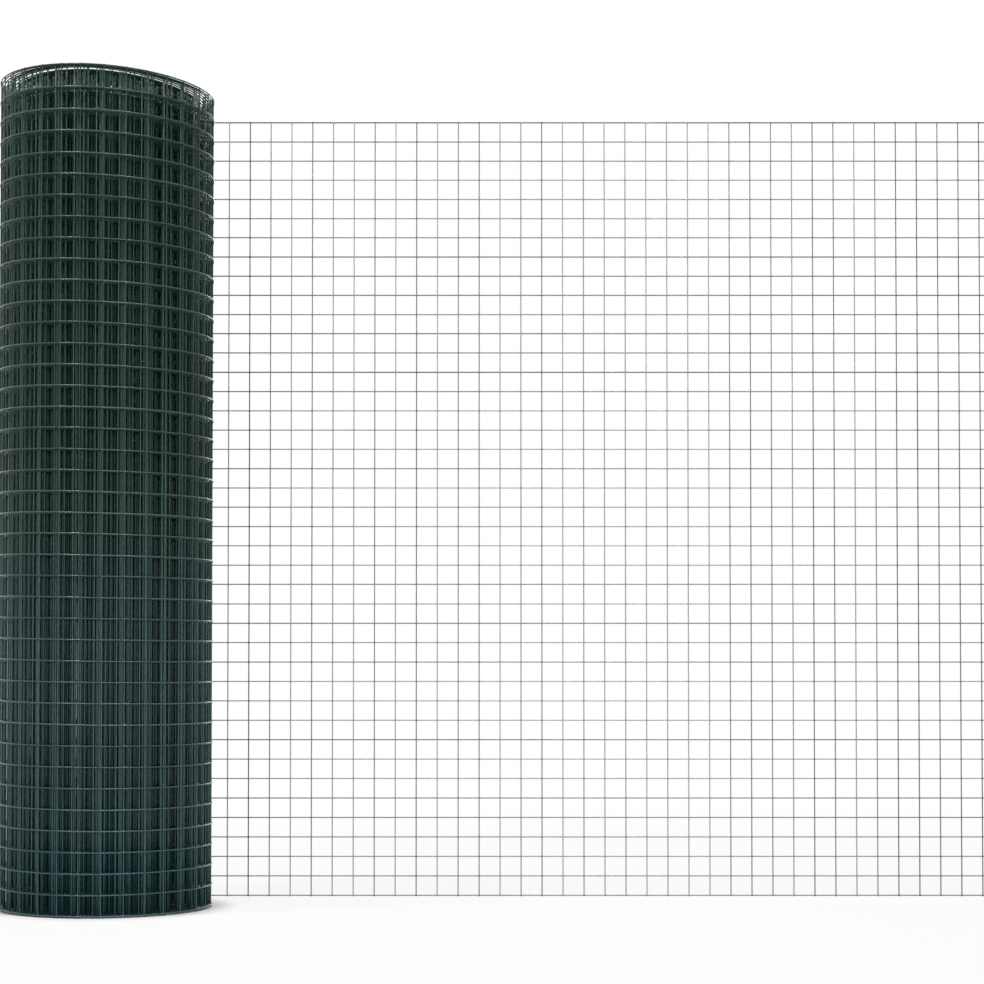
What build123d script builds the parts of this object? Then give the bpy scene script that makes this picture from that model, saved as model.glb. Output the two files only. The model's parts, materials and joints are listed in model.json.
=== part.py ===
"""A roll of coated welded-wire fencing, standing on its end and partly unrolled.

The wound turns are one turned solid with an open bore, and a crest on each end for every turn.
The loose end leaves the back of the roll on a tangent and stands as a flat mesh: upright cross
wires on the roll's side, level line wires on the far side, welded to each other where they cross.
Its first cross wire lies along the roll's back.

Frame: +Z up along the roll's axis, origin on that axis at the floor, +X along the loose end.
"""

import os

from build123d import *

# Coated wire and its welds, in millimetres
WIRE_DIAMETER = 1.6
WIRE_SIDES = 6
WELD_SET_DOWN = 0.8

# Mesh cells
CELL_WIDTH = 27.0
CELL_HEIGHT = 25.0
CELL_ROWS = 40
CUT_END_STUB = 1.2

# Wound roll
BORE_DIAMETER = 92.0
TURN_COUNT = 34
TURN_SLACK = 0.05
END_GROOVE_DEPTH = 1.6

# Loose end
STRIP_COUNT = 5
STRIP_CELLS = 9
SEAT_CLEARANCE = 0.3

# Sizes that follow
wire_radius = WIRE_DIAMETER / 2
mesh_thickness = 2 * WIRE_DIAMETER - WELD_SET_DOWN
mesh_height = CELL_ROWS * CELL_HEIGHT + 2 * CUT_END_STUB
bore_radius = BORE_DIAMETER / 2
turn_pitch = mesh_thickness + TURN_SLACK
outer_radius = bore_radius + TURN_COUNT * turn_pitch
strip_width = STRIP_CELLS * CELL_WIDTH
loose_end_start = -CELL_WIDTH / 2
cross_wire_y = outer_radius + SEAT_CLEARANCE + wire_radius
line_wire_y = cross_wire_y + WIRE_DIAMETER - WELD_SET_DOWN


def end_outline(crest_height: float, groove_height: float) -> list[tuple[float, float]]:
    """One end of the roll's section, from the bore to the rim.

    Each turn has its crest in the middle of its own thickness, and a groove parts it from the
    next turn. The first and last turns stay flat from their crest to the bore and to the rim.
    """
    points = [(bore_radius, crest_height)]
    for turn in range(TURN_COUNT):
        inner_face = bore_radius + turn * turn_pitch
        if turn > 0:
            points.append((inner_face, groove_height))
        points.append((inner_face + turn_pitch / 2, crest_height))
    points.append((outer_radius, crest_height))
    return points


def wound_roll() -> Part:
    """The wound turns: a section turned about the roll's axis, its rims as round as the edge wire."""
    floor_end = end_outline(0, END_GROOVE_DEPTH)
    top_end = end_outline(mesh_height, mesh_height - END_GROOVE_DEPTH)
    outline = Polyline(*floor_end, *reversed(top_end), close=True)
    turned = revolve(Plane.XZ * make_face(outline), Axis.Z)
    rims = turned.edges().filter_by(GeomType.CIRCLE).group_by(SortBy.RADIUS)[-1]
    return fillet(rims, wire_radius)


def straight_wire(start: Vector, along: Vector, across: Vector, length: float) -> Part:
    """One wire of the flat mesh, a prism cut flat on the side that meets the wires it crosses.

    Half of the weld's set-down comes off each of the two wires, so they meet face to face.
    """
    full_section = RegularPolygon(wire_radius, WIRE_SIDES, major_radius=False)
    weld_side = Pos(0, wire_radius) * Rectangle(2 * WIRE_DIAMETER, WELD_SET_DOWN)
    section_plane = Plane(origin=start, x_dir=across, z_dir=along)
    return extrude(section_plane * (full_section - weld_side), length)


def mesh_strip() -> Part:
    """A strip of the loose end, its wires fused at the welds, cut midway between cross wires."""
    right, up = Vector(1, 0, 0), Vector(0, 0, 1)
    line_wires = [
        straight_wire(Vector(0, line_wire_y, CUT_END_STUB + row * CELL_HEIGHT), right, up, strip_width)
        for row in range(CELL_ROWS + 1)
    ]
    cross_wires = [
        straight_wire(Vector((cell + 1 / 2) * CELL_WIDTH, cross_wire_y, 0), up, right, mesh_height)
        for cell in range(STRIP_CELLS)
    ]
    first, *others = line_wires + cross_wires
    return first.fuse(*others)


def main() -> None:
    """Write the wound roll, then the strips of the loose end side by side along X."""
    os.makedirs("parts", exist_ok=True)
    export_step(wound_roll(), "parts/wound_roll.step")
    strip = mesh_strip()
    for index in range(STRIP_COUNT):
        placed = Pos(loose_end_start + index * strip_width, 0, 0) * strip
        export_step(placed, f"parts/unrolled_mesh_{index + 1}.step")


if __name__ == "__main__":
    main()
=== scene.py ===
"""Dresses a standing roll of coated welded-wire fencing whose loose end is drawn off flat.

The fence is one mesh on one path. The path is a straight line along the loose end and then a spiral
that winds into the roll. Level line wires follow the path at every row, on its outer side. Upright
cross wires stand on its inner side, one to a cell, and the coat thickens where the two are welded.

Lengths are metres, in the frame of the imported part: +Z up along the roll's axis, the floor at zero,
+X along the loose end.
"""

from __future__ import annotations

import json
import logging
import math
from dataclasses import dataclass, field, replace
from enum import Enum

import bpy
import numpy as np
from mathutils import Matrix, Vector

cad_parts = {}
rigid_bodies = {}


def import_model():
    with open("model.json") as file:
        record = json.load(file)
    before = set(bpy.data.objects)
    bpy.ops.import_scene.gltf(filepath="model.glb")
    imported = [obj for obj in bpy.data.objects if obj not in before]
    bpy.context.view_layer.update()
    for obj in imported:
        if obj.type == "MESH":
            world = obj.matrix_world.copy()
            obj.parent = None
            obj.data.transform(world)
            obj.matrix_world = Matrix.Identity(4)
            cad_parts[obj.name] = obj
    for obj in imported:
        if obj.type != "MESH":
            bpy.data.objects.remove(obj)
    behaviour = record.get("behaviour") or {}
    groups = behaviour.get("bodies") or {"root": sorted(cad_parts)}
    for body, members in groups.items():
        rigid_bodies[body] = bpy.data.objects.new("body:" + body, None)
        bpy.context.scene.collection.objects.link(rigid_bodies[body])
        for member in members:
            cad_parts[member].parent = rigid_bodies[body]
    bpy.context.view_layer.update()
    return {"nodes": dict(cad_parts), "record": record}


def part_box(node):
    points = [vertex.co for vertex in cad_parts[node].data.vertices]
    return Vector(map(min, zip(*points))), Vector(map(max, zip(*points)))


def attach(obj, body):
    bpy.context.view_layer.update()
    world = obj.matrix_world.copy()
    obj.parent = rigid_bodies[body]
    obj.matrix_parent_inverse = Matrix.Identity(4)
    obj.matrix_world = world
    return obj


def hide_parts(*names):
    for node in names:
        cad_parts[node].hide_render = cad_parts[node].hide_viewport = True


BODY = "root"
ROLL_NODE = "wound_roll"
STRIP_PREFIX = "unrolled_mesh_"
BORE_MOUNT = "core_bore"
BAKE_MAP = "OFBake"
# Each wire's tone, with painted shade and painted light by its depth in the roll and its kind of wire.
TONE_AND_PAINTED_LIGHT_ATTRIBUTE = "wire_tone_and_painted_light"
# How much paler grey each wire gets on the loose end.
PALING_ATTRIBUTE = "wire_paling"
DEPTH_ATTRIBUTE = "wire_depth"
MILLIMETRE = 0.001
FULL_TURN = 2 * math.pi
QUARTER_TURN = math.pi / 2
UNIT_RANGE = (0.0, 1.0)
WHITE = (1.0, 1.0, 1.0, 1.0)

Pair = tuple[float, float]
Triple = tuple[float, float, float]
Socket = bpy.types.NodeSocket
Materials = tuple[bpy.types.Material, bpy.types.Material]

log = logging.getLogger("fence")


class WireEnd(Enum):
    """How a wire of a piece ends."""

    CUT = "sheared off, so that the steel core shows inside the coat"
    RUNS_ON = "goes on in the next piece of the same fence"


@dataclass
class NodeBoard:
    """A node tree that is being wired up."""

    tree: bpy.types.NodeTree

    def add(self, kind: str, inputs: dict[str, object] | None = None, **settings: object) -> bpy.types.Node:
        """Adds one node.

        Args:
            kind: Blender's name for the type of node.
            inputs: values for its sockets, by the socket's name.
            **settings: values for its own properties.

        Returns:
            The new node.
        """
        node = self.tree.nodes.new(kind)
        for name, value in settings.items():
            setattr(node, name, value)
        for name, value in (inputs or {}).items():
            node.inputs[name].default_value = value
        return node

    def join(self, source: Socket, target: Socket) -> None:
        """Links an output to an input."""
        self.tree.links.new(source, target)

    def place(self) -> Socket:
        """Adds the object's own coordinates."""
        return self.add("ShaderNodeTexCoord").outputs["Object"]

    def mark(self, name: str) -> Socket:
        """Adds a value that each wire carries, by the attribute's name."""
        return self.add("ShaderNodeAttribute", attribute_name=name).outputs["Fac"]

    def noise(self, place: Socket, waves: float, detail: float) -> Socket:
        """Adds a noise pattern.

        Args:
            place: the coordinates it is drawn on.
            waves: waves to a metre.
            detail: octaves of finer noise on top.

        Returns:
            Its value, about 0 to 1.
        """
        node = self.add("ShaderNodeTexNoise", {"Scale": waves, "Detail": detail})
        self.join(place, node.inputs["Vector"])
        return node.outputs["Fac"]

    def distance(self, place: Socket, point: Triple) -> Socket:
        """Adds the distance from a point.

        Args:
            place: the coordinates it is measured from.
            point: the point.

        Returns:
            The distance.
        """
        node = self.add("ShaderNodeVectorMath", operation="DISTANCE")
        self.join(place, node.inputs[0])
        node.inputs[1].default_value = point
        return node.outputs["Value"]

    def ranged(self, value: Socket, source: Pair, target: Pair) -> Socket:
        """Carries a value smoothly from one range to another.

        Args:
            value: the value to carry over.
            source: its lowest and highest value.
            target: what those two become.

        Returns:
            The value in its new range.
        """
        limits = {"From Min": source[0], "From Max": source[1], "To Min": target[0], "To Max": target[1]}
        node = self.add("ShaderNodeMapRange", limits, interpolation_type="SMOOTHSTEP")
        self.join(value, node.inputs["Value"])
        return node.outputs["Result"]

    def calculated(self, operation: str, *terms: Socket | float) -> Socket:
        """Adds one step of arithmetic.

        Args:
            operation: Blender's name for it.
            *terms: numbers, or sockets that give them, in the operation's order.

        Returns:
            Its result.
        """
        node = self.add("ShaderNodeMath", operation=operation)
        for term, socket in zip(terms, node.inputs):
            if isinstance(term, Socket):
                self.join(term, socket)
            else:
                socket.default_value = term
        return node.outputs["Value"]

    def mixed(self, factor: Socket, first: Socket | Triple, second: Socket | Triple) -> Socket:
        """Blends two colours.

        Args:
            factor: 0 for the first colour, 1 for the second.
            first: a colour or a socket that gives one.
            second: a colour or a socket that gives one.

        Returns:
            The blended colour.
        """
        node = self.add("ShaderNodeMix", data_type="RGBA")
        self.join(factor, node.inputs["Factor"])
        for colour, name in ((first, "A"), (second, "B")):
            target = next(socket for socket in node.inputs if socket.name == name and socket.type == "RGBA")
            if isinstance(colour, Socket):
                self.join(colour, target)
            else:
                target.default_value = (*colour, 1.0)
        return next(socket for socket in node.outputs if socket.type == "RGBA")

    def seen_directly(self) -> Socket:
        """Adds a value that is 1 for camera, glossy and transmission rays and 0 for the rest.

        Returns:
            The value.
        """
        path = self.add("ShaderNodeLightPath")
        seen = path.outputs["Is Camera Ray"]
        for name in ("Is Glossy Ray", "Is Transmission Ray"):
            seen = self.calculated("MAXIMUM", seen, path.outputs[name])
        return seen


@dataclass(frozen=True)
class CoatFinish:
    """The wire's satin plastic coat: green, a little cooler near the floor as painted cool light from it,
    mottled and not quite smooth.

    Patterns are given in waves to a metre. On the loose end a paler grey is blended into the coat, more on
    some wires than others.
    """

    name: str = "green_plastic_coat"
    high_shade: Triple = (0.011, 0.029, 0.022)
    high_bright: Triple = (0.037, 0.083, 0.067)
    # The cooler pair near the floor is painted cool light from the floor.
    low_shade: Triple = (0.017, 0.046, 0.048)
    low_bright: Triple = (0.040, 0.094, 0.099)
    # A paler grey for the loose end's wires.
    loose_end_grey: Triple = (0.32, 0.34, 0.33)
    # Heights over which the painted cool floor light gives way to the greener pair.
    painted_floor_light_band: Pair = (0.12, 0.62)
    drift_waves: float = 7.0
    drift_detail: float = 3.0
    drift_range: Pair = (0.3, 0.7)
    mottle_waves: float = 260.0
    mottle_detail: float = 4.0
    mottle_range: Pair = (0.25, 0.75)
    mottle_share: float = 0.3
    pattern_share: float = 0.4
    tone_range: Pair = (0.1, 1.2)
    rough_range: Pair = (0.3, 0.7)
    roughness: Pair = (0.20, 0.33)
    gloss: Pair = (0.42, 0.22)
    pimple_waves: float = 1500.0
    pimple_detail: float = 2.0
    pimple_depth: float = 0.06 * MILLIMETRE
    pimple_strength: float = 0.35

    def colour(self, board: NodeBoard, place: Socket, mottle: Socket) -> Socket:
        """Works out the coat's colour.

        Slow patches, a share of the mottle and the wire's tone add up to its brightness, which blends a
        dark and a bright colour; the tone carries painted shade and painted light by the wire's depth in
        the roll. Near the floor that is the cooler pair, painted cool light from the floor, higher up the
        greener one. On the loose end the wire's share then blends it with a paler grey.

        Args:
            board: the tree that it goes into.
            place: the object's own coordinates.
            mottle: the fine pattern.

        Returns:
            The colour.
        """
        # Painted cool light from the floor: cooler colours low down, by height.
        height = board.add("ShaderNodeSeparateXYZ")
        board.join(place, height.inputs["Vector"])
        rise = board.ranged(height.outputs["Z"], self.painted_floor_light_band, UNIT_RANGE)
        drift = board.noise(place, self.drift_waves, self.drift_detail)
        patches = board.ranged(drift, self.drift_range, UNIT_RANGE)
        blotches = board.ranged(mottle, self.mottle_range, UNIT_RANGE)
        pattern = board.calculated("MULTIPLY_ADD", blotches, self.mottle_share, patches)
        # The wire's tone carries painted shade and painted light by its depth in the roll.
        tone = board.calculated("MULTIPLY_ADD", pattern, self.pattern_share, board.mark(TONE_AND_PAINTED_LIGHT_ATTRIBUTE))
        brightness = board.ranged(tone, self.tone_range, UNIT_RANGE)
        low = board.mixed(brightness, self.low_shade, self.low_bright)
        high = board.mixed(brightness, self.high_shade, self.high_bright)
        clean = board.mixed(rise, low, high)
        # The loose end's wires are blended with a paler grey.
        return board.mixed(board.mark(PALING_ATTRIBUTE), clean, self.loose_end_grey)

    def material(self) -> bpy.types.Material:
        """Builds the material.

        Returns:
            A material that reads object coordinates and the marks on each wire.
        """
        made = bpy.data.materials.new(self.name)
        made.use_nodes = True
        board = NodeBoard(made.node_tree)
        shader = made.node_tree.nodes["Principled BSDF"]
        place = board.place()
        mottle = board.noise(place, self.mottle_waves, self.mottle_detail)
        board.join(self.colour(board, place, mottle), shader.inputs["Base Color"])
        board.join(board.ranged(mottle, self.rough_range, self.roughness), shader.inputs["Roughness"])
        depth = board.mark(DEPTH_ATTRIBUTE)
        board.join(board.ranged(depth, UNIT_RANGE, self.gloss), shader.inputs["Specular IOR Level"])
        relief = {"Strength": self.pimple_strength, "Distance": self.pimple_depth}
        pimples = board.add("ShaderNodeBump", relief)
        board.join(board.noise(place, self.pimple_waves, self.pimple_detail), pimples.inputs["Height"])
        board.join(pimples.outputs["Normal"], shader.inputs["Normal"])
        return made


@dataclass(frozen=True)
class CutSteelFinish:
    """Bare galvanised steel on the sheared ends of the wires."""

    name: str = "cut_steel"
    dull: Triple = (0.30, 0.31, 0.31)
    bright: Triple = (0.62, 0.63, 0.62)
    grain_waves: float = 2400.0
    grain_detail: float = 3.0
    grain_range: Pair = (0.3, 0.7)
    roughness: Pair = (0.35, 0.6)

    def material(self) -> bpy.types.Material:
        """Builds the material.

        Returns:
            A metal with a fine sheared grain.
        """
        made = bpy.data.materials.new(self.name)
        made.use_nodes = True
        board = NodeBoard(made.node_tree)
        shader = made.node_tree.nodes["Principled BSDF"]
        shader.inputs["Metallic"].default_value = 1.0
        grain = board.noise(board.place(), self.grain_waves, self.grain_detail)
        board.join(board.mixed(grain, self.dull, self.bright), shader.inputs["Base Color"])
        board.join(board.ranged(grain, self.grain_range, self.roughness), shader.inputs["Roughness"])
        return made


@dataclass(frozen=True)
class FloorFinish:
    """A pale matt floor that glows for the eye and goes over into plain white further out.

    The glow fades out under the roll, where the floor lies in its shade.
    """

    name: str = "pale_floor"
    colour: Triple = (0.7, 0.7, 0.7)
    glow: float = 0.84
    roll_foot: Triple = (0.0, 0.0, 0.0)
    shade_radii: Pair = (0.125, 0.17)
    middle: Triple = (0.45, 0.0, 0.0)
    white_radii: Pair = (0.9, 2.4)

    def material(self) -> bpy.types.Material:
        """Builds the material.

        Returns:
            A matt floor with white mixed in for the camera, all white past the outer radius.
        """
        made = bpy.data.materials.new(self.name)
        made.use_nodes = True
        made.node_tree.nodes.clear()
        board = NodeBoard(made.node_tree)
        place = board.place()
        white_share = board.ranged(board.distance(place, self.middle), self.white_radii, (self.glow, 1.0))
        open_floor = board.ranged(board.distance(place, self.roll_foot), self.shade_radii, UNIT_RANGE)
        seen_share = board.calculated("MULTIPLY", white_share, board.seen_directly())
        matt = board.add("ShaderNodeBsdfDiffuse", {"Color": (*self.colour, 1.0)})
        white = board.add("ShaderNodeEmission", {"Color": WHITE, "Strength": 1.0})
        blend = board.add("ShaderNodeMixShader")
        board.join(board.calculated("MULTIPLY", seen_share, open_floor), blend.inputs["Fac"])
        board.join(matt.outputs["BSDF"], blend.inputs[1])
        board.join(white.outputs["Emission"], blend.inputs[2])
        board.join(blend.outputs["Shader"], board.add("ShaderNodeOutputMaterial").inputs["Surface"])
        return made


@dataclass(frozen=True)
class FenceStock:
    """The welded mesh: its wire, its cells and how the coat swells at a weld."""

    wire_diameter: float = 1.6 * MILLIMETRE
    core_share: float = 0.69
    weld_set_down: float = 0.8 * MILLIMETRE
    turn_slack: float = 0.05 * MILLIMETRE
    cell_width: float = 27.0 * MILLIMETRE
    wound_cell_width: float = 26.6 * MILLIMETRE
    cell_height: float = 25.0 * MILLIMETRE
    cell_rows: int = 40
    cut_end_stub: float = 1.2 * MILLIMETRE
    weld_swell: float = 0.1 * MILLIMETRE
    weld_reach: float = 1.6 * MILLIMETRE
    weld_ring_shares: tuple[float, ...] = (-1.9, -0.75, 0.0, 0.75, 1.9)
    least_end_gap: float = 0.2 * MILLIMETRE

    @property
    def wire_radius(self) -> float:
        """Half the wire's thickness over its coat."""
        return self.wire_diameter / 2

    @property
    def half_spacing(self) -> float:
        """From the middle of the mesh's thickness to the middle of either wire."""
        return (self.wire_diameter - self.weld_set_down) / 2

    @property
    def turn_pitch(self) -> float:
        """How much nearer to the axis each turn lies than the last."""
        return 2 * self.wire_diameter - self.weld_set_down + self.turn_slack

    @property
    def height(self) -> float:
        """From the lower to the upper cut ends."""
        return self.cell_rows * self.cell_height + 2 * self.cut_end_stub

    @property
    def rows(self) -> np.ndarray:
        """The line wires' numbers, from the floor up."""
        return np.arange(self.cell_rows + 1)

    @property
    def row_heights(self) -> np.ndarray:
        """The height of each line wire."""
        return self.cut_end_stub + self.cell_height * self.rows

    @property
    def weld_ring_places(self) -> np.ndarray:
        """Where the rings of a weld's bead lie along the wire, from the weld's middle."""
        return self.weld_reach * np.array(self.weld_ring_shares)


@dataclass
class FencePath:
    """The fence's line seen from above, and how loosely it is wound.

    A place on it is its distance along the fence. Zero is where the loose end leaves the roll, below
    zero lies the loose end and above zero the turns, from the outermost to the innermost.
    """

    pitch: float
    sheet_y: float
    turns: int

    # The roll as a whole
    out_of_round: float = 0.5 * MILLIMETRE
    third_wave_share: float = 0.6
    lean: float = 6.0 * MILLIMETRE
    shown_turns: Pair = (0.8, 1.6)

    # The outer turns, below the upper edge
    rising_turn: float = 0.2
    outer_step: float = 1.9 * MILLIMETRE
    least_step_share: float = 0.06
    stepped_turns: Pair = (1.2, 3.2)

    # The upper edge
    edge_power: int = 9
    edge_step: float = 2.7 * MILLIMETRE
    edge_turns: Pair = (5.0, 6.8)
    fan_step: float = 8.5 * MILLIMETRE
    fan_turns: float = 7.0
    bow: float = 4.5 * MILLIMETRE
    bow_power: int = 16

    # The inner turns
    inner_step: float = 0.6 * MILLIMETRE
    inner_waves: float = 0.61

    def angle(self, along: np.ndarray) -> np.ndarray:
        """The angle wound up to a place: the spiral's length is r*a - pitch*a*a/(4*pi), solved for a.

        Args:
            along: places on the fence.

        Returns:
            Angles in radians, 0 on the loose end.
        """
        length = np.clip(along, 0.0, None)
        root = np.sqrt(self.sheet_y * self.sheet_y - self.pitch * length / math.pi)
        return (self.sheet_y - root) * FULL_TURN / self.pitch

    def along(self, wound: float | np.ndarray) -> float | np.ndarray:
        """The length of spiral up to a wound angle, r*a - pitch*a*a/(4*pi)."""
        return self.sheet_y * wound - self.pitch * wound * wound / (2 * FULL_TURN)

    def radius(self, wound: np.ndarray) -> np.ndarray:
        """The spiral's radius at a wound angle, one pitch less for every turn."""
        return self.sheet_y - self.pitch * wound / FULL_TURN

    @staticmethod
    def eased(wound: np.ndarray, first_turn: float, last_turn: float) -> np.ndarray:
        """A smooth step, 3u^2 - 2u^3, from 0 at one turn to 1 at another."""
        u = np.clip((wound / FULL_TURN - first_turn) / (last_turn - first_turn), 0.0, 1.0)
        return u * u * (3 - 2 * u)

    def buried(self, along: np.ndarray) -> np.ndarray:
        """How deep in the roll a place is: 0 on the loose end and the outer turn, 1 further in."""
        return self.eased(self.angle(along), *self.shown_turns)

    def lift(self, along: np.ndarray, height_share: np.ndarray) -> np.ndarray:
        """How far the fence rides up at a place.

        It rises in the first part of the outer turn. Below the upper edge it comes down again after
        the outer turns by a smooth step, and it rises most at the roll's two sides, by a squared sine
        of the angle. Along the upper edge, by a high power of the height, the outer turns stand
        higher: together at the front and back, and fanned out evenly at the two sides. All the turns
        bow there, by a cosine of twice the angle: up at the front and back, down at the two sides. A
        slow squared sine of the angle leaves the inner turns uneven. All the turns lean: one side is
        higher and the other lower, in proportion to the height and, with the sine of the angle, to
        the radius.

        Args:
            along: places on the fence.
            height_share: 0 at the fence's lower and 1 at its upper edge, of a shape that goes with along.

        Returns:
            Heights, none on the loose end.
        """
        wound = self.angle(along)
        start = self.eased(wound, 0.0, self.rising_turn)
        side, edge = np.sin(wound) ** 2, height_share**self.edge_power
        step_share = self.least_step_share + (1 - self.least_step_share) * side
        below = self.outer_step * step_share * (1 - self.eased(wound, *self.stepped_turns))
        stacked = self.edge_step * (1 - self.eased(wound, *self.edge_turns))
        fanned = self.fan_step * np.clip(1 - wound / (FULL_TURN * self.fan_turns), 0.0, None)
        above = (1 - side) * stacked + side * fanned
        bowed = self.bow * np.cos(2 * wound) * height_share**self.bow_power
        uneven = self.inner_step * np.sin(self.inner_waves * wound) ** 2
        leaning = self.lean * np.sin(wound) * height_share * self.radius(wound) / self.sheet_y
        return start * ((1 - edge) * below + edge * above + bowed) + uneven + leaning

    def plan(self, along: np.ndarray, outward: float) -> tuple[np.ndarray, np.ndarray, np.ndarray]:
        """Points beside the path.

        On the loose end the point is (-along, y). On the turns it is at the wound angle past +Y, at
        the spiral's radius, which two and three low waves round the roll make a little uneven.

        Args:
            along: places on the fence, of any shape.
            outward: how far outside the middle of the mesh's thickness.

        Returns:
            The points, the outward directions and the directions along the fence, each with a last
            axis of three.
        """
        wound = self.angle(along)
        bearing = QUARTER_TURN + wound
        settled = np.clip(wound / QUARTER_TURN, 0.0, 1.0)
        waves = np.cos(2 * bearing) + self.third_wave_share * np.cos(3 * bearing)
        radius = self.radius(wound) + self.out_of_round * settled * waves + outward
        level = np.zeros_like(wound)
        out = np.stack([np.cos(bearing), np.sin(bearing), level], -1)
        onward = np.stack([-np.sin(bearing), np.cos(bearing), level], -1)
        point = out * radius[..., None]
        point[..., 0] -= np.minimum(along, 0.0)
        return point, out, onward


@dataclass(frozen=True)
class BakeStrip:
    """How one wire lies on its own strip of the bake map, in shares of the strip."""

    body: float = 0.9
    margin: float = 0.04
    end_middles: tuple[Pair, Pair] = ((0.93, 0.5), (0.975, 0.5))
    end_reach: Pair = (0.02, 0.3)


@dataclass
class WireBatch:
    """Many wires of the same kind, as arrays with one row to a wire and one column to a ring."""

    name: str
    centres: np.ndarray
    side_axes: np.ndarray
    run_axes: np.ndarray
    radii: np.ndarray
    marks: dict[str, np.ndarray]
    sides: int
    ends: tuple[WireEnd, WireEnd]
    core_share: float
    strip: BakeStrip = BakeStrip()

    @property
    def corner_angles(self) -> np.ndarray:
        """The angle of each corner of a ring."""
        return FULL_TURN * np.arange(self.sides) / self.sides

    def with_cut_ends(self) -> WireBatch:
        """Closes the coat round the steel core at each cut end.

        Returns:
            The batch with one more ring at each cut end, as wide as the core and in line with the last.
        """
        pads = tuple(int(end is WireEnd.CUT) for end in self.ends)
        shape = ((0, 0), pads)
        radii = np.pad(self.radii, shape, mode="edge")
        for pad, column in zip(pads, (0, -1)):
            if pad:
                radii[:, column] *= self.core_share
        grown = {name: np.pad(getattr(self, name), (*shape, (0, 0)), mode="edge")
                 for name in ("centres", "side_axes", "run_axes")}
        marks = {name: np.pad(values, shape, mode="edge") for name, values in self.marks.items()}
        return replace(self, radii=radii, marks=marks, **grown)

    def vertices(self) -> np.ndarray:
        """The rings' corners: centre + reach * (cos * side axis + sin * cross axis).

        The corners reach a little past the wire's radius, so that a ring is as far round as the wire.

        Returns:
            An array of wires by rings by sides by three.
        """
        half_side = math.pi / self.sides
        reach = self.radii * (half_side / math.sin(half_side))
        cross_axes = np.cross(self.run_axes, self.side_axes)
        rim = (np.cos(self.corner_angles)[:, None] * self.side_axes[:, :, None, :]
               + np.sin(self.corner_angles)[:, None] * cross_axes[:, :, None, :])
        return self.centres[:, :, None, :] + reach[:, :, None, None] * rim

    def faces(self) -> tuple[np.ndarray, np.ndarray]:
        """Quads between neighbouring rings, and a flat face over each end of each wire.

        Returns:
            The quads' corners, four to a row, and the end faces' corners, one face to a row.
        """
        wires, rings = self.radii.shape
        index = np.arange(wires * rings * self.sides).reshape(wires, rings, self.sides)
        after = np.roll(index, -1, axis=2)
        quads = np.stack([index[:, :-1], after[:, :-1], after[:, 1:], index[:, 1:]], -1)
        caps = np.stack([index[:, 0, ::-1], index[:, -1, :]], 1)
        return quads.reshape(-1, 4), caps.reshape(-1, self.sides)

    def bake_places(self) -> np.ndarray:
        """A map with each wire on a strip of its own, unrolled flat, and its ends beside it.

        The strips stand in as many columns as make a face about as wide as it is tall.

        Returns:
            Map places for the quads' corners and then for the end faces' corners.
        """
        wires, rings = self.radii.shape
        columns = max(1, round(math.sqrt(wires * self.sides / rings)))
        rows = math.ceil(wires / columns)
        wire = np.arange(wires)
        corner = np.stack([wire % columns / columns, wire // columns / rows], -1)
        cell = np.array([1 / columns, 1 / rows])
        ring = np.linspace(0.0, self.strip.body, rings)
        side = np.linspace(self.strip.margin, 1 - self.strip.margin, self.sides + 1)
        grid = np.stack(np.broadcast_arrays(ring[:, None], side[None, :]), -1)
        quads = np.stack([grid[:-1, :-1], grid[:-1, 1:], grid[1:, 1:], grid[1:, :-1]], -2)
        disc = np.stack([np.cos(self.corner_angles), np.sin(self.corner_angles)], -1) * self.strip.end_reach
        caps = np.stack([disc + middle for middle in self.strip.end_middles])
        spread = [corner.reshape(-1, *(1,) * (flat.ndim - 1), 2) + cell * flat for flat in (quads, caps)]
        return np.concatenate([places.reshape(-1, 2) for places in spread])

    def mesh(self) -> bpy.types.Mesh:
        """Puts the corners and faces into a mesh, smooth along the wires and flat at their ends.

        Returns:
            The mesh, with the second material on the cut ends.
        """
        points = self.vertices().reshape(-1, 3)
        quads, caps = self.faces()
        mesh = bpy.data.meshes.new(self.name)
        mesh.vertices.add(len(points))
        mesh.vertices.foreach_set("co", points.astype(np.float32).ravel())
        corners = np.concatenate([quads.ravel(), caps.ravel()])
        mesh.loops.add(len(corners))
        mesh.loops.foreach_set("vertex_index", corners.astype(np.int32))
        mesh.polygons.add(len(quads) + len(caps))
        sizes = np.repeat([quads.shape[1], self.sides], [len(quads), len(caps)])
        mesh.polygons.foreach_set("loop_start", (np.cumsum(sizes) - sizes).astype(np.int32))
        steel = np.zeros(len(sizes), np.int32)
        steel[len(quads):] = np.tile([end is WireEnd.CUT for end in self.ends], len(caps) // 2)
        mesh.polygons.foreach_set("material_index", steel)
        mesh.polygons.foreach_set("use_smooth", np.arange(len(sizes)) < len(quads))
        return mesh

    def write_marks(self, mesh: bpy.types.Mesh) -> None:
        """Writes the bake map and the values that the coat's material reads.

        Args:
            mesh: the batch's mesh.
        """
        bake_map = mesh.uv_layers.new(name=BAKE_MAP)
        bake_map.uv.foreach_set("vector", self.bake_places().astype(np.float32).ravel())
        for name, values in self.marks.items():
            layer = mesh.attributes.new(name, "FLOAT", "POINT")
            layer.data.foreach_set("value", np.repeat(values.ravel(), self.sides).astype(np.float32))

    def build(self, materials: Materials) -> bpy.types.Object:
        """Makes the piece.

        Args:
            materials: the coat, then the bare steel of cut ends.

        Returns:
            The piece, at the origin with its place in its mesh.
        """
        batch = self.with_cut_ends()
        mesh = batch.mesh()
        batch.write_marks(mesh)
        for material in materials:
            mesh.materials.append(material)
        mesh.update(calc_edges=True)
        mesh.calc_loop_triangles()
        piece = bpy.data.objects.new(self.name, mesh)
        bpy.context.scene.collection.objects.link(piece)
        log.info("%s: %d wires, %d triangles", self.name, len(self.radii), len(mesh.loop_triangles))
        return piece


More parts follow.
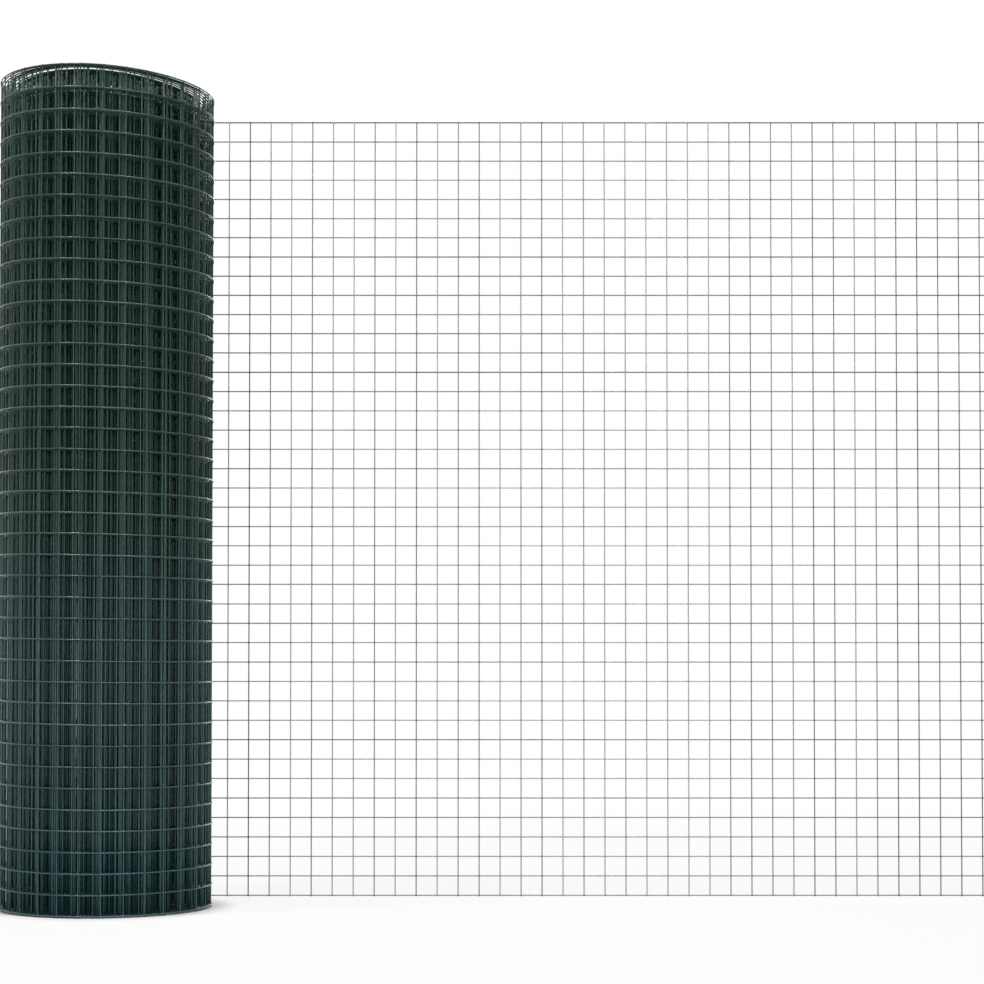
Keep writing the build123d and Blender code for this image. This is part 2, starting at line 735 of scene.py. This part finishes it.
@dataclass
class Unevenness:
    """How far the wires stray from their true places and tones: one draw for every wire of the fence.

    Tone means come in pairs, outside and deep in the roll, and paint light and shade: the line wires
    are lighter outside, a painted highlight, and darker deep in, painted shade; the cross wires are
    darker outside and lighter deep in, painted light in the roll's shade.
    """

    stock: FenceStock
    cross_count: int
    seed: int = 301
    row_stray: float = 0.22 * MILLIMETRE
    row_wave: float = 0.16 * MILLIMETRE
    row_wave_limits: Pair = (0.15, 0.4)
    cross_stray: float = 1.2 * MILLIMETRE
    cross_lean: float = 1.2 * MILLIMETRE
    # Painted light and shade by depth: line wires lighter outside and darker deep in, cross wires the other
    # way round.
    row_painted_light_tones: Pair = (0.4, 0.0)
    cross_painted_light_tones: Pair = (0.15, 1.0)
    # The upper edge wire's tone: painted shade along the roll's upper edge.
    upper_edge_painted_shade: float = -0.8
    tone_spread: float = 0.2
    slow_tone: float = 0.12
    slow_tone_length: float = 0.9
    # How much paler grey the loose end's wires get, one draw to a wire.
    paling_reach: float = 0.12
    paling_mean: float = 0.66
    paling_spread: float = 0.34
    row_shift: np.ndarray = field(init=False)
    row_phase: np.ndarray = field(init=False)
    row_wave_length: np.ndarray = field(init=False)
    row_tone: np.ndarray = field(init=False)
    row_paling: np.ndarray = field(init=False)
    cross_shift: np.ndarray = field(init=False)
    cross_tilt: np.ndarray = field(init=False)
    cross_tone: np.ndarray = field(init=False)
    cross_paling: np.ndarray = field(init=False)

    def __post_init__(self) -> None:
        """Draws every wire's stray, tone and share of paler grey, in a fixed order."""
        draw = np.random.default_rng(self.seed)
        row_count = len(self.stock.rows)
        self.row_shift = draw.normal(0.0, self.row_stray, row_count).clip(0.0, None)
        self.row_phase = draw.uniform(0.0, FULL_TURN, row_count)
        self.row_wave_length = draw.uniform(*self.row_wave_limits, row_count)
        self.row_tone = draw.normal(0.0, self.tone_spread, row_count)
        # The upper edge wire is painted darker: painted shade.
        self.row_tone[-1] = self.upper_edge_painted_shade
        self.cross_shift = draw.normal(0.0, self.cross_stray, self.cross_count)
        self.cross_tilt = draw.normal(0.0, self.cross_lean, self.cross_count)
        self.cross_tone = draw.normal(0.0, self.tone_spread, self.cross_count)
        self.row_paling, self.cross_paling = (
            draw.normal(self.paling_mean, self.paling_spread, count).clip(*UNIT_RANGE)
            for count in (row_count, self.cross_count)
        )

    def paling_at(self, along: np.ndarray) -> np.ndarray:
        """The share of a wire's paler grey that shows: none on the turns, all of it along the loose end."""
        return np.clip(-along / self.paling_reach, 0.0, 1.0)

    def row_tone_at(self, rows: np.ndarray, along: np.ndarray) -> np.ndarray:
        """How far line wires' tone is from its mean: each wire's own share and one slow wave along it."""
        # The upper edge wire's own share is its painted shade.
        slow = np.sin(FULL_TURN * along / self.slow_tone_length + rows[:, None])
        return self.row_tone[rows, None] + self.slow_tone * slow

    def row_stray_at(self, rows: np.ndarray, along: np.ndarray) -> np.ndarray:
        """How far line wires stray upwards: each wire's own shift and, on the turns, a wave along it."""
        wave = np.sin(FULL_TURN * along / self.row_wave_length[rows, None] + self.row_phase[rows, None])
        return self.row_shift[rows, None] + self.row_wave * wave * (along > 0)

    def cross_stray_at(self, wires: np.ndarray, height_share: np.ndarray) -> np.ndarray:
        """How far cross wires stray along the fence: each wire's shift and its tilt about mid-height."""
        return self.cross_shift[wires] + self.cross_tilt[wires] * (height_share - 1 / 2)


@dataclass
class Fence:
    """The whole length of fence, from which both sub-assemblies cut their wires."""

    stock: FenceStock
    path: FencePath
    uneven: Unevenness

    def stations(self, weld_places: np.ndarray, span: Pair) -> tuple[np.ndarray, np.ndarray]:
        """Ring places on a beaded wire: several round each weld and one halfway to the next.

        Args:
            weld_places: where the welds are, in order and evenly spaced.
            span: where the wire starts and ends.

        Returns:
            The rings' places and the number of the weld that each belongs to.
        """
        start, end = span
        halfway = (weld_places[1] - weld_places[0]) / 2
        offsets = np.append(self.stock.weld_ring_places, halfway)
        places = (weld_places[:, None] + offsets).ravel()
        owner = np.repeat(np.arange(len(weld_places)), len(offsets))
        gap = self.stock.least_end_gap
        inside = (places > start + gap) & (places < end - gap)
        places = np.concatenate([[start], places[inside], [end]])
        owner = np.concatenate([[0], owner[inside], [len(weld_places) - 1]])
        return places, owner

    def swollen(self, distance: np.ndarray) -> np.ndarray:
        """The wire's radius at a distance from a weld, a bell curve on top of the plain wire."""
        bell = np.exp(-((distance / self.stock.weld_reach) ** 2))
        return self.stock.wire_radius + self.stock.weld_swell * bell

    def marks(
        self, along: np.ndarray, tone_means: Pair, tone_shift: np.ndarray, paling: np.ndarray
    ) -> dict[str, np.ndarray]:
        """What the coat's material reads at each ring.

        Args:
            along: places on the fence, wires by rings.
            tone_means: the mean tone outside and deep in the roll, which paints light and shade by depth.
            tone_shift: how far each wire's tone is from that, of a shape that goes with along.
            paling: how much paler grey each wire gets on the loose end, of a shape that goes with along.

        Returns:
            The tone with its painted light and shade, the share of paler grey and the depth, by attribute.
        """
        buried = self.path.buried(along)
        # Painted shade and painted light by depth in the roll: line wires darker, cross wires lighter
        # further in.
        tone = tone_means[0] + (tone_means[1] - tone_means[0]) * buried + tone_shift
        paled = paling * self.uneven.paling_at(along)
        return {TONE_AND_PAINTED_LIGHT_ATTRIBUTE: tone, PALING_ATTRIBUTE: paled, DEPTH_ATTRIBUTE: buried}

    def line_wires(
        self, name: str, rows: np.ndarray, along: np.ndarray, radii: np.ndarray, sides: int,
        ends: tuple[WireEnd, WireEnd],
    ) -> WireBatch:
        """Line wires on the outer side of the mesh.

        Args:
            name: the piece's name.
            rows: the rows' numbers, one to a wire.
            along: places on the fence, wires by rings, in rising order.
            radii: the wire's radius at each ring.
            sides: corners of a ring.
            ends: how the wires start and end.

        Returns:
            The wires.
        """
        uneven, heights = self.uneven, self.stock.row_heights[rows, None]
        centres, out, onward = self.path.plan(along, self.stock.half_spacing)
        lift = self.path.lift(along, heights / self.stock.height)
        centres[..., 2] = heights + lift + uneven.row_stray_at(rows, along)
        tone = uneven.row_tone_at(rows, along)
        marks = self.marks(along, uneven.row_painted_light_tones, tone, uneven.row_paling[rows, None])
        return WireBatch(name, centres, out, onward, radii, marks, sides, ends, self.stock.core_share)

    def cross_wires(
        self, name: str, wires: np.ndarray, heights: np.ndarray, radii: np.ndarray, sides: int
    ) -> WireBatch:
        """Cross wires on the inner side of the mesh.

        Args:
            name: the piece's name.
            wires: the cross wires' numbers, 0 where the loose end leaves the roll, rising into the roll.
            heights: the rings' heights above the fence's lower edge, wires by rings.
            radii: the wire's radius at each ring.
            sides: corners of a ring.

        Returns:
            The wires, cut at both ends.
        """
        uneven, share = self.uneven, heights / self.stock.height
        wound = wires[:, None] > 0
        cell = np.where(wound, self.stock.wound_cell_width, self.stock.cell_width)
        along = wires[:, None] * cell + uneven.cross_stray_at(wires[:, None], share) * wound
        centres, out, _ = self.path.plan(along, -self.stock.half_spacing)
        centres[..., 2] = heights + self.path.lift(along, share)
        upward = np.zeros_like(out)
        upward[..., 2] = 1.0
        tone, paling = uneven.cross_tone[wires, None], uneven.cross_paling[wires, None]
        marks = self.marks(along, uneven.cross_painted_light_tones, tone, paling)
        cut = (WireEnd.CUT, WireEnd.CUT)
        return WireBatch(name, centres, out, upward, radii, marks, sides, cut, self.stock.core_share)

    def beaded_cross_wires(self, name: str, wires: np.ndarray, sides: int) -> WireBatch:
        """Cross wires whose coat swells at every line wire.

        Args:
            name: the piece's name.
            wires: the cross wires' numbers.
            sides: corners of a ring.

        Returns:
            The wires.
        """
        row_heights = self.stock.row_heights
        heights, owner = self.stations(row_heights, (0.0, self.stock.height))
        radii = self.swollen(heights - row_heights[owner])
        shape = (len(wires), len(heights))
        return self.cross_wires(name, wires, np.broadcast_to(heights, shape),
                                np.broadcast_to(radii, shape), sides)


@dataclass
class LooseEnd:
    """The flat part of the fence, from the roll's back to its cut end."""

    fence: Fence
    length: float
    nodes: tuple[str, ...]
    sides: int = 6

    def build(self, materials: Materials) -> list[bpy.types.Object]:
        """Makes the flat part's line wires and cross wires.

        Args:
            materials: the coat and the cut steel.

        Returns:
            Both pieces.
        """
        fence, stock = self.fence, self.fence.stock
        wires = np.arange(-int(self.length / stock.cell_width), 1)
        welds = stock.cell_width * wires
        along, owner = fence.stations(welds, (-self.length, 0.0))
        shape = (len(stock.rows), len(along))
        radii = fence.swollen(along - welds[owner])
        line = fence.line_wires(
            "loose_end_line_wires", stock.rows, np.broadcast_to(along, shape),
            np.broadcast_to(radii, shape), self.sides, (WireEnd.CUT, WireEnd.RUNS_ON),
        )
        cross = fence.beaded_cross_wires("loose_end_cross_wires", wires, self.sides)
        pieces = [batch.build(materials) for batch in (line, cross)]
        for piece in pieces:
            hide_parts(*self.nodes)
        return pieces


@dataclass
class WoundTurns:
    """The turns of the roll: one beaded turn outside, then plain ones, coarser where they hardly show.

    Rings are counted to a turn on line wires and to a whole wire on cross wires.
    """

    fence: Fence
    outer_last_turn: int = 1
    middle_last_turn: int = 7
    fine_sides: int = 6
    coarse_sides: int = 4
    middle_rings: int = 60
    inner_rings: int = 24
    edge_rings: int = 48
    edge_rows: int = 2
    cross_rings: int = 12

    def span(self, turns: tuple[int, int]) -> Pair:
        """Places on the fence where a stretch of turns starts and ends."""
        start, end = (float(self.fence.path.along(turn * FULL_TURN)) for turn in turns)
        return start, end

    def cross_numbers(self, turns: tuple[int, int]) -> np.ndarray:
        """The numbers of the cross wires on a stretch of turns."""
        first, last = (math.floor(place / self.fence.stock.wound_cell_width) for place in self.span(turns))
        return np.arange(first + 1, last + 1)

    def beaded_line_wires(self, name: str, turns: tuple[int, int]) -> WireBatch:
        """Line wires over a stretch of turns, with a ring pattern that follows each weld.

        Args:
            name: the piece's name.
            turns: the turns that the stretch starts and ends with.

        Returns:
            The wires.
        """
        fence, stock = self.fence, self.fence.stock
        span = self.span(turns)
        welds = stock.wound_cell_width * np.arange(math.ceil(span[1] / stock.wound_cell_width) + 1)
        along, owner = fence.stations(welds, span)
        share = stock.row_heights[:, None] / stock.height
        moved = fence.uneven.cross_stray_at(owner[None, :], share)
        moved[:, [0, -1]] = 0.0
        moved *= owner > 0
        radii = np.broadcast_to(fence.swollen(along - welds[owner]), moved.shape)
        return fence.line_wires(name, stock.rows, along + moved, radii, self.fine_sides,
                                (WireEnd.RUNS_ON, WireEnd.RUNS_ON))

    def plain_line_wires(
        self, name: str, rows: np.ndarray, turns: tuple[int, int], rings: int, sides: int, last: WireEnd
    ) -> WireBatch:
        """Plain line wires over a stretch of turns, with evenly turned rings.

        Args:
            name: the piece's name.
            rows: the rows' numbers.
            turns: the turns that the stretch starts and ends with.
            rings: rings to a turn.
            sides: corners of a ring.
            last: how the wires end.

        Returns:
            The wires.
        """
        count = (turns[1] - turns[0]) * rings + 1
        wound = FULL_TURN * np.linspace(*turns, count)
        along = np.broadcast_to(self.fence.path.along(wound), (len(rows), count))
        radii = np.full(along.shape, self.fence.stock.wire_radius)
        return self.fence.line_wires(name, rows, along, radii, sides, (WireEnd.RUNS_ON, last))

    def plain_cross_wires(self, name: str, turns: tuple[int, int], sides: int) -> WireBatch:
        """Plain cross wires over a stretch of turns.

        Args:
            name: the piece's name.
            turns: the turns that the stretch starts and ends with.
            sides: corners of a ring.

        Returns:
            The wires.
        """
        stock, wires = self.fence.stock, self.cross_numbers(turns)
        heights = np.broadcast_to(np.linspace(0.0, stock.height, self.cross_rings),
                                  (len(wires), self.cross_rings))
        radii = np.full(heights.shape, stock.wire_radius)
        return self.fence.cross_wires(name, wires, heights, radii, sides)

    def build(self, materials: Materials) -> list[bpy.types.Object]:
        """Makes all the turns.

        Args:
            materials: the coat and the cut steel.

        Returns:
            The pieces, from the outside in.
        """
        fence, rows, fine, coarse = self.fence, self.fence.stock.rows, self.fine_sides, self.coarse_sides
        outer = (0, self.outer_last_turn)
        middle = (self.outer_last_turn, self.middle_last_turn)
        inner = (self.middle_last_turn, fence.path.turns)
        edge = np.minimum(rows, rows[::-1]) < self.edge_rows
        batches = [
            self.beaded_line_wires("outer_turn_line_wires", outer),
            fence.beaded_cross_wires("outer_turn_cross_wires", self.cross_numbers(outer), fine),
            self.plain_line_wires("middle_turns_line_wires", rows, middle, self.middle_rings, fine,
                                  WireEnd.RUNS_ON),
            self.plain_cross_wires("middle_turns_cross_wires", middle, fine),
            self.plain_line_wires("inner_turns_edge_wires", rows[edge], inner, self.edge_rings, fine,
                                  WireEnd.CUT),
            self.plain_line_wires("inner_turns_line_wires", rows[~edge], inner, self.inner_rings, coarse,
                                  WireEnd.CUT),
            self.plain_cross_wires("inner_turns_cross_wires", inner, coarse),
        ]
        pieces = [batch.build(materials) for batch in batches]
        for piece in pieces:
            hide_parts(ROLL_NODE)
        return pieces


@dataclass(frozen=True)
class Softbox:
    """One soft lamp, aimed at a point on or beside the roll."""

    name: str
    place: Triple
    aim: Triple
    size: Pair
    watts: float

    def build(self) -> bpy.types.Object:
        """Makes the lamp.

        Returns:
            An area lamp that the camera doesn't see.
        """
        data = bpy.data.lights.new(self.name, "AREA")
        data.shape = "RECTANGLE"
        data.size, data.size_y = self.size
        data.energy = self.watts
        lamp = bpy.data.objects.new(self.name, data)
        lamp.location = self.place
        toward = Vector(self.aim) - Vector(self.place)
        lamp.rotation_euler = toward.to_track_quat("-Z", "Y").to_euler()
        lamp.visible_camera = False
        bpy.context.scene.collection.objects.link(lamp)
        return lamp


@dataclass
class Studio:
    """The pale floor, the white surroundings, the soft lamps and the camera."""

    camera_place: Triple = (0.4756, -2.7989, 0.2966)
    camera_pitch_degrees: float = 1.6
    focal_length: float = 83.06
    shift_up: float = 0.112
    ambient: float = 0.3
    floor_reach: float = 30.0
    floor_lines: int = 3
    lamps: tuple[Softbox, ...] = (
        Softbox("front", (0.4756, -2.9, 0.3), (0.1, 0.0, 0.5), (0.35, 0.35), 21.0),
        Softbox("front_high", (-0.87, -2.08, 2.43), (0.1, 0.0, 0.5), (0.5, 0.5), 25.0),
        Softbox("key_left", (-0.96, -0.58, 3.3), (0.0, 0.0, 0.5), (0.35, 0.35), 40.0),
        Softbox("key_right", (0.86, -0.72, 3.3), (0.0, 0.0, 0.5), (0.2, 0.3), 50.0),
        Softbox("rear", (0.3, 2.8, 1.6), (0.3, 0.0, 0.5), (1.6, 1.4), 34.0),
    )

    def world(self) -> None:
        """Surrounds the object with white for the eye and in reflections, and softer light for the rest."""
        world = bpy.data.worlds.new("white_surroundings")
        bpy.context.scene.world = world
        world.use_nodes = True
        board = NodeBoard(world.node_tree)
        background = world.node_tree.nodes["Background"]
        background.inputs["Color"].default_value = WHITE
        strength = board.add("ShaderNodeMapRange", {"To Min": self.ambient, "To Max": 1.0})
        board.join(board.seen_directly(), strength.inputs["Value"])
        board.join(strength.outputs["Result"], background.inputs["Strength"])

    def floor(self) -> None:
        """Lays the floor, a level grid surface that isn't part of the object."""
        line = np.linspace(-self.floor_reach, self.floor_reach, self.floor_lines)
        x, y = np.meshgrid(line, line)
        points = np.stack([x, y, np.zeros_like(x)], -1).reshape(-1, 3)
        index = np.arange(x.size).reshape(x.shape)
        quads = np.stack([index[:-1, :-1], index[:-1, 1:], index[1:, 1:], index[1:, :-1]], -1)
        mesh = bpy.data.meshes.new("floor")
        mesh.from_pydata(points.tolist(), [], quads.reshape(-1, 4).tolist())
        mesh.materials.append(FloorFinish().material())
        floor = bpy.data.objects.new("floor", mesh)
        bpy.context.scene.collection.objects.link(floor)

    def camera(self) -> None:
        """Sets the camera up level but for a slight upward tilt, with the horizon below the middle."""
        data = bpy.data.cameras.new("camera")
        data.lens = self.focal_length
        data.shift_y = self.shift_up
        camera = bpy.data.objects.new("camera", data)
        camera.location = self.camera_place
        camera.rotation_euler = (QUARTER_TURN + math.radians(self.camera_pitch_degrees), 0.0, 0.0)
        bpy.context.scene.collection.objects.link(camera)
        bpy.context.scene.camera = camera

    def build(self) -> None:
        """Sets up everything round the object."""
        bpy.context.scene.view_settings.view_transform = "Standard"
        self.world()
        self.floor()
        self.camera()
        for lamp in self.lamps:
            lamp.build()


def fitted_fence(frame: dict, strips: tuple[str, ...], loose_length: float) -> Fence:
    """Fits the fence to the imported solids.

    The path runs along the middle of the flat strips' thickness, and there are as many turns as fit
    between the bore and the roll's rim.

    Args:
        frame: the loaded frame.
        strips: the flat strips' nodes.
        loose_length: how far the loose end reaches from the roll's axis.

    Returns:
        The fence.
    """
    stock = FenceStock()
    bore = next(mount for mount in frame["record"]["mounts"] if mount["name"] == BORE_MOUNT)
    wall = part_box(ROLL_NODE)[1].x - bore["dims"]["r_mm"] * MILLIMETRE
    turns = round(wall / stock.turn_pitch)
    strip_low, strip_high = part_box(strips[0])
    path = FencePath(stock.turn_pitch, (strip_low.y + strip_high.y) / 2, turns)
    wound_length = path.along(turns * FULL_TURN)
    cells = int(wound_length / stock.wound_cell_width) + int(loose_length / stock.cell_width)
    log.info("%d turns, %.2f m wound, %.2f m drawn off", turns, wound_length, loose_length)
    return Fence(stock, path, Unevenness(stock, cells + 1))


def corners(box: tuple[Vector, Vector]) -> list[list[float]]:
    """A box's lowest and highest corner as plain numbers."""
    return [[float(value) for value in corner] for corner in box]


def main() -> None:
    """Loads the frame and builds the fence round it."""
    logging.basicConfig(level=logging.INFO, format="%(name)s: %(message)s")
    for item in list(bpy.data.objects):
        bpy.data.objects.remove(item)
    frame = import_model()

    strips = tuple(sorted(name for name in frame["nodes"] if name.startswith(STRIP_PREFIX)))
    loose_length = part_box(strips[-1])[1].x
    fence = fitted_fence(frame, strips, loose_length)
    materials = (CoatFinish().material(), CutSteelFinish().material())
    pieces = LooseEnd(fence, loose_length, strips).build(materials) + WoundTurns(fence).build(materials)
    for piece in pieces:
        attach(piece, BODY)
    Studio().build()


if __name__ == "__main__":
    main()
